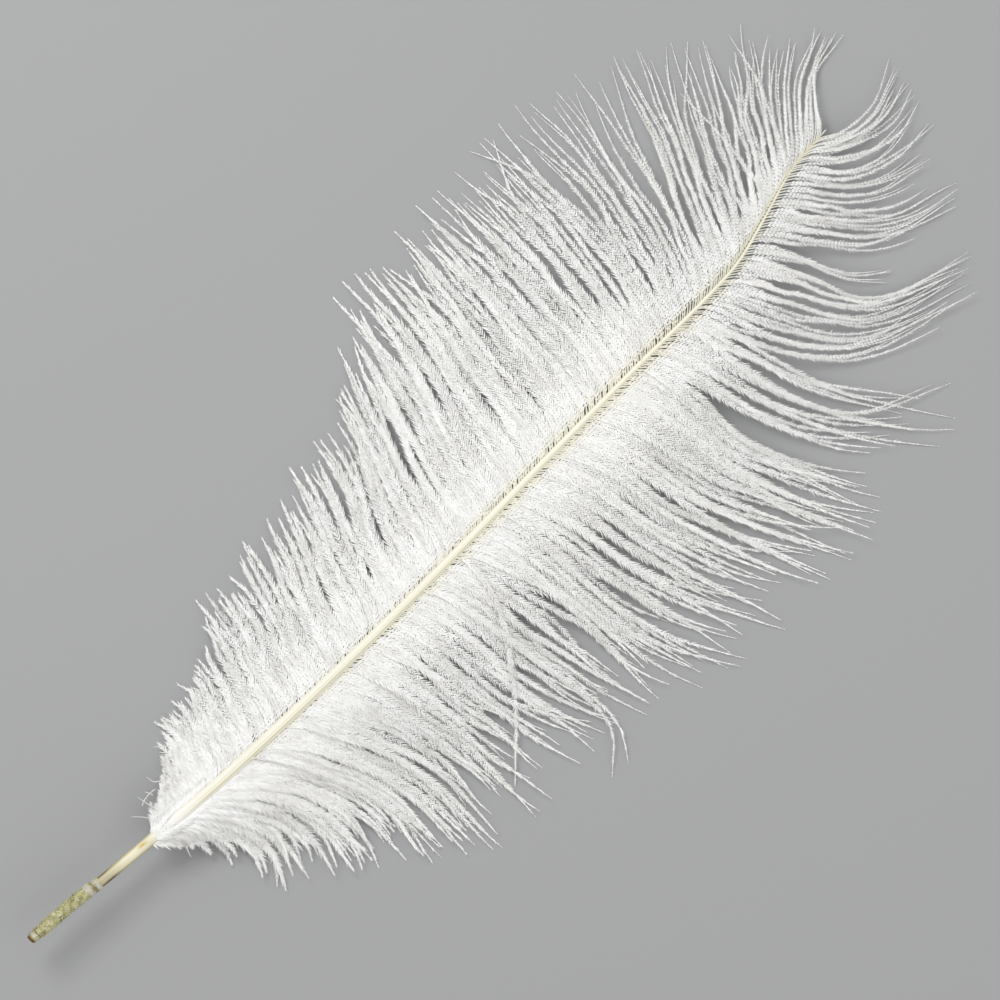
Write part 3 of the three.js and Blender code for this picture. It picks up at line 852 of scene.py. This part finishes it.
def barb_fringe(barbs, lengths, x, blunt):
    """The barbules as blades. Each leaves its barb at an angle that closes towards the tip, tilted a
    little up or down, and bends forward at its knee and droops. None reaches below the table."""
    downy = smoothstep(*DOWNY_FROM, x)
    barb, t, hand = barbule_places(lengths, BARBULE_SPACING - CLOSER_IN_DOWN * downy)
    downy, sparse, blunt = downy[barb], smoothstep(*SPARSE_FROM, x)[barb], blunt[barb]
    long = barbule_lengths(barb, t, lengths, downy, sparse, blunt)
    gone = t * lengths[barb]
    step, rest = step_at(t)
    along = unit(np.gradient(barbs, axis=1))
    foot, ahead, out, above = (v[barb, step] * (1 - rest) + v[barb, step + 1] * rest
                               for v in (barbs, along, *cross_frame(along)))
    angle = np.interp(t, SHARE_STOPS, BARBULE_ANGLES) + 4 * downy + 8 * blunt * smoothstep(0.6, 1, t)
    angle = np.radians(angle + chance.normal(0, 4, len(t)))[:, None]
    unruly = chance.normal(0, 0.04, len(t)) * (1 + 1.5 * smoothstep(8, 30, gone))
    tilt = (0.05 * np.sin(gone * 1.7 + barb * 2.4) + unruly)[:, None]
    droop = (0.05 + 0.22 * smoothstep(4, 20, gone))[:, None]
    bend = np.minimum(angle * 0.6, np.radians(chance.normal(4, 4, len(t)))[:, None])
    first = unit(np.cos(angle) * ahead + np.sin(angle) * out * hand + tilt * above)
    second = unit(np.cos(angle - bend) * ahead + np.sin(angle - bend) * out * hand
                  + (0.6 * tilt - droop) * above)
    wide = (0.4 - 0.11 * smoothstep(6, 25, gone) - 0.06 * downy) * np.clip(long / 2.2, 0.1, 1.0)
    points, faces = blades(foot - 0.12 * first * long[:, None], first, second, long[:, None],
                           wide[:, None])
    points[..., 2] += np.maximum(FRINGE_CLEARANCE - points[..., 2].min(axis=1), 0)[:, None]
    lane = (barb[:, None, None] + 0.5) / len(barbs) + np.zeros(faces.shape)
    strip = np.stack([np.broadcast_to(t[:, None, None], lane.shape), lane], -1)
    return points.reshape(-1, 3), faces.reshape(-1, 3), strip.reshape(-1, 3, 2)


down = Paint("white_down", Roughness=0.7, Specular_IOR_Level=0.25)
surface = down.unrolled()
way, lane = down.axis(surface, 0), down.axis(surface, 1)
cloud = down.noise(down.place(), 55.0, 3.0)
# Each barb is lighter or darker along its length, in grey streaks: partly random tone, partly painted
# shade standing in for the shadow lines between neighbouring barbs.
barb_tone_and_shade_streak = down.noise(down.node("ShaderNodeCombineXYZ", in_0=way * 5.0, in_1=lane * 61.0), 1.0, 2.0)
white = down.blend(barb_tone_and_shade_streak.ramp(0.32, 0.6), (0.84, 0.835, 0.81), (0.975, 0.975, 0.965))
white = down.blend(cloud.ramp(0.45, 0.7) * 0.4, white, (0.95, 0.945, 0.915))
# Small grey dashes along each barb: partly random tone, partly painted shade standing in for the shaded
# gaps between barbules.
tone_and_shade_fleck = down.noise(down.node("ShaderNodeCombineXYZ", in_0=way * 150.0, in_1=lane * 97.0), 1.0, 1.0)
white = down.blend(tone_and_shade_fleck.ramp(0.5, 0.28) * 0.4, white, (0.66, 0.655, 0.63))
root = way.ramp(0.055, 0.015)
down.feed(Base_Color=down.blend(root * 0.85, white, (0.88, 0.85, 0.70)))

# Each vane is joined into a few bands along the shaft, of barbs of about the same length in all.
for name, barbs, x, lengths, blunt, bands in (
        ("left", left_barbs, left_x, left_length, smoothstep(75, 25, left_x), 4),
        ("right", right_barbs, right_x, right_length, 0.8 * smoothstep(-40, -90, right_x), 5),
        ("stray", stray_routes, stray_x, stray_length, 0 * stray_x, 1)):
    share = np.cumsum(lengths) / lengths.sum()
    for band in range(bands):
        mine = (share > band / bands) & (share <= (band + 1) / bands + 1e-9)
        threads, thread_faces, thread_strip = barb_threads(barbs[mine], lengths[mine], x[mine])
        fringe, fringe_faces, fringe_strip = barb_fringe(barbs[mine], lengths[mine], x[mine], blunt[mine])
        faces = np.concatenate([thread_faces, fringe_faces + len(threads)])
        new_piece(f"{name}_barbs_{band + 1}", np.concatenate([threads, fringe]), faces,
                  np.concatenate([thread_strip, fringe_strip]), down.material, "barbs",
                  rounded=np.arange(len(faces)) < len(thread_faces))

# The down at the base
# The lowest barbs are only tufts of down. They wrap the quill's end in a white muff, from which the
# shaft comes out again further up, and a few long curly threads stick out of it.
TUFTS, TUFTS_START = 5000, VANE_START - 0.8
TUFT_LENGTHS, TUFT_WIDTHS = (1.5, 4.5), (0.15, 0.32)
SHAFT_HIDDEN_TO, SHAFT_BARE_FROM = -119, -108  # along the shaft, where its crown comes out
x = TUFTS_START + chance.gamma(1.7, 4.6, TUFTS)
middle, wide, deep = shaft_at(x)
turn = (chance.choice([-1.0, 1.0], TUFTS) * np.pi
        * chance.uniform(0.36 * smoothstep(SHAFT_HIDDEN_TO, SHAFT_BARE_FROM, x), 0.46, TUFTS))[:, None]
out = np.concatenate([0 * turn, -np.sin(turn), np.cos(turn)], axis=1)
foot = middle + out * np.stack([0 * x, wide, deep], -1) * 0.9
spread = np.sign(out[:, 1:2] + chance.normal(0, 0.35, (TUFTS, 1))) * np.array([[0.0, 1.0, 0.0]])
ahead = np.array([[1.0, -0.05, 0.0]])
first = unit(ahead + 0.35 * out + spread * chance.uniform(0.0, 0.7, (TUFTS, 1)))
second = unit(ahead + spread * chance.uniform(0.2, 1.4, (TUFTS, 1)) + [[0, 0, -0.12]])
points, faces = blades(foot, first, second, chance.uniform(*TUFT_LENGTHS, (TUFTS, 1)),
                       chance.uniform(*TUFT_WIDTHS, (TUFTS, 1)))
strip = np.full(faces.shape + (2,), 0.5)
new_piece("base_down", points.reshape(-1, 3), faces.reshape(-1, 3), strip, down.material, "barbs",
          rounded=False)

THREADS = np.array([  # three places of each, from above
    [-114.5, -1, -116, 1.5, -118.3, 4],
    [-112, 1, -112.5, 4, -113, 6.8],
    [-112.5, 4.5, -110, 5, -107.5, 4.6],
    [-103.5, 4.5, -106.5, 6.5, -107, 9],
    [-102.5, 4, -101.5, 6, -100.5, 8],
    [-99.5, 3, -98.5, 4.5, -98.5, 6],
    [-96, 10.5, -97.5, 12, -99.5, 13.7],
    [-114, 4, -112, 4.8, -108, 5],
    [-109.5, 4, -110, 5.5, -110.5, 6.3],
    [-114, -9, -114.8, -10.5, -115.2, -12],
    [-113, -13, -114, -15, -114.5, -16.6],
])
THREAD_HEIGHTS, THREAD_THICKNESS = [7.5, 8.5, 8.0], (0.24, 0.09)
stops = THREADS.reshape(-1, 3, 2)
heights = np.broadcast_to(np.array(THREAD_HEIGHTS)[None, :, None], stops.shape[:2] + (1,))
routes = smooth_route(np.concatenate([stops, heights], axis=2), 8)
thin = np.linspace(*THREAD_THICKNESS, routes.shape[1])[None, :, None, None]
rings = three_sided(routes, thin)
new_piece("base_threads", rings.reshape(-1, 3), *tube_faces(*routes.shape[:2], 3), down.material, "barbs")

# The table, the light and the camera
# The feather lies on a plain pale table under soft daylight from a big window, and the camera looks
# straight down on it, turned so that the shaft runs from the lower left to the upper right.
floor_mesh = bpy.data.meshes.new("floor")
TABLE_REACH = 3
corners = [(TABLE_REACH * a, TABLE_REACH * b, 0) for a, b in ((-1, -1), (1, -1), (1, 1), (-1, 1))]
floor_mesh.from_pydata(corners, [], [(0, 1, 2, 3)])
floor = bpy.data.objects.new("floor", floor_mesh)
bpy.context.scene.collection.objects.link(floor)
pale = Paint("pale_table", Roughness=0.8, Specular_IOR_Level=0.2, Base_Color=(0.38, 0.383, 0.39, 1))
floor_mesh.materials.append(pale.material)

PHOTO_WIDTH = 0.290
PHOTO_MIDDLE = Vector((0.0075, 0.0034, 0.006))
PICTURE_RIGHT = Vector((0.70208, -0.71208, 0.0)).normalized()
PICTURE_UP = Vector((0.71208, 0.70208, 0.0)).normalized()
CAMERA_HEIGHT = 2.0
lens = bpy.data.cameras.new("camera")
lens.sensor_width = 36.0
lens.lens = lens.sensor_width * CAMERA_HEIGHT / PHOTO_WIDTH
lens.clip_start = 0.05
camera = bpy.data.objects.new("camera", lens)
bpy.context.scene.collection.objects.link(camera)
turned = Matrix((PICTURE_RIGHT, PICTURE_UP, Vector((0, 0, 1)))).transposed().to_4x4()
camera.matrix_world = Matrix.Translation(PHOTO_MIDDLE + Vector((0, 0, CAMERA_HEIGHT))) @ turned
bpy.context.scene.camera = camera
bpy.context.scene.view_settings.view_transform = "Standard"


def window(name, towards, height, distance, size, strength):
    """A square soft light that looks at the feather from a direction in the picture."""
    data = bpy.data.lights.new(name, "AREA")
    data.size, data.energy = size, strength
    light = bpy.data.objects.new(name, data)
    flat = (PICTURE_RIGHT * towards[0] + PICTURE_UP * towards[1]).normalized()
    light.location = flat * distance + Vector((0, 0, height))
    light.rotation_euler = light.location.to_track_quat("Z", "Y").to_euler()
    bpy.context.scene.collection.objects.link(light)


window("window", (-0.8, 1.0), 0.9, 0.8, 0.5, 6.3)
window("fill", (1.0, -0.6), 1.0, 1.0, 1.2, 3.8)
world = bpy.data.worlds.new("room")
world.use_nodes = True
world.node_tree.nodes["Background"].inputs["Color"].default_value = (1.0, 0.995, 0.985, 1)
world.node_tree.nodes["Background"].inputs["Strength"].default_value = 0.64
bpy.context.scene.world = world
